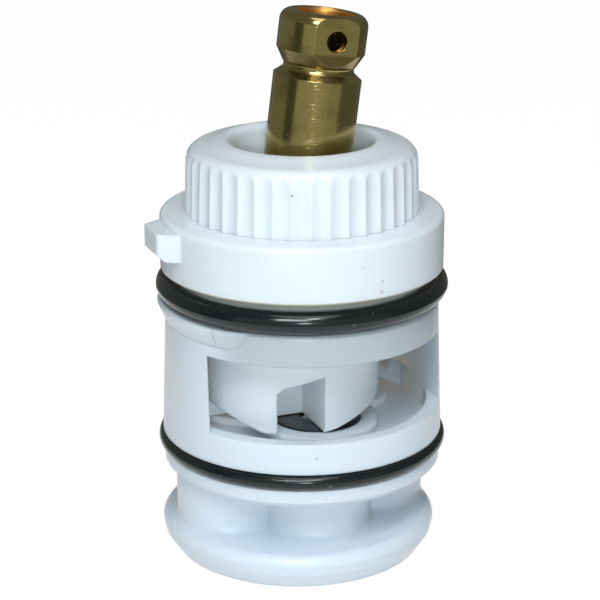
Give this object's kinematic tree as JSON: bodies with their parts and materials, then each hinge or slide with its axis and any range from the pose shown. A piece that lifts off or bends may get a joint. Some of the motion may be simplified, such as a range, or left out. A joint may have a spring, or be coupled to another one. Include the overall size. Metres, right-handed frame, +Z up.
{
  "type": "single lever faucet cartridge",
  "caption": "White plastic faucet cartridge with a brass lever stem, ribbed cap, outer O-rings and an open side window onto the valve slider.",
  "frame": {"origin": "centre of the foot's lower face, on the barrel's axis", "axes": "+Z up the barrel towards the lever stem; -Y out through the middle of the window; -X out through the locating lug"},
  "size_m": [0.0364, 0.035, 0.0658],
  "materials": {
    "body": "semi-gloss moulded acetal",
    "cap": "semi-gloss moulded acetal",
    "valve_plastic": "semi-gloss moulded acetal",
    "inner_plastic": "plain moulded plastic",
    "brass": "turned, lightly scratched",
    "rubber": "smooth greased rubber",
    "steel": "drawn stainless"
  },
  "bodies": {
    "housing": {"body": "body", "cap": "cap", "thrust_washer": "inner_plastic", "upper_o_ring": "rubber", "lower_o_ring": "rubber", "front_seat": "rubber", "front_seat_sleeve": "inner_plastic", "front_seat_spring": "steel", "front_port_seal": "rubber", "hot_seat": "rubber", "hot_seat_sleeve": "inner_plastic", "hot_seat_spring": "steel", "hot_port_seal": "rubber", "cold_seat": "rubber", "cold_seat_sleeve": "inner_plastic", "cold_seat_spring": "steel", "cold_port_seal": "rubber"},
    "turret": {"carrier": "valve_plastic", "pivot_pin": "steel", "carrier_o_ring": "rubber", "stem_o_ring": "rubber"},
    "lever": {"stem": "brass"},
    "shoe": {"slider": "valve_plastic"}
  },
  "joints": [
    {"name": "lever_turn", "type": "hinge", "parent": "housing", "child": "turret", "pos_m": [0, 0, 0.0345], "axis": [0, 0, 1], "range_deg": [-50, 50]},
    {"name": "lever_tilt", "type": "hinge", "parent": "turret", "child": "lever", "pos_m": [0, 0, 0.0423], "axis": [0, 1, 0], "range_deg": [-23.2, 8.8]},
    {"name": "slider_travel", "type": "slide", "parent": "turret", "child": "shoe", "axis": [1, 0, 0], "range_m": [-0.00194, 0.00512]}
  ],
  "couplings": [
    {"joint": "slider_travel", "follows": "lever_tilt", "m_per_rad": -0.01265}
  ]
}
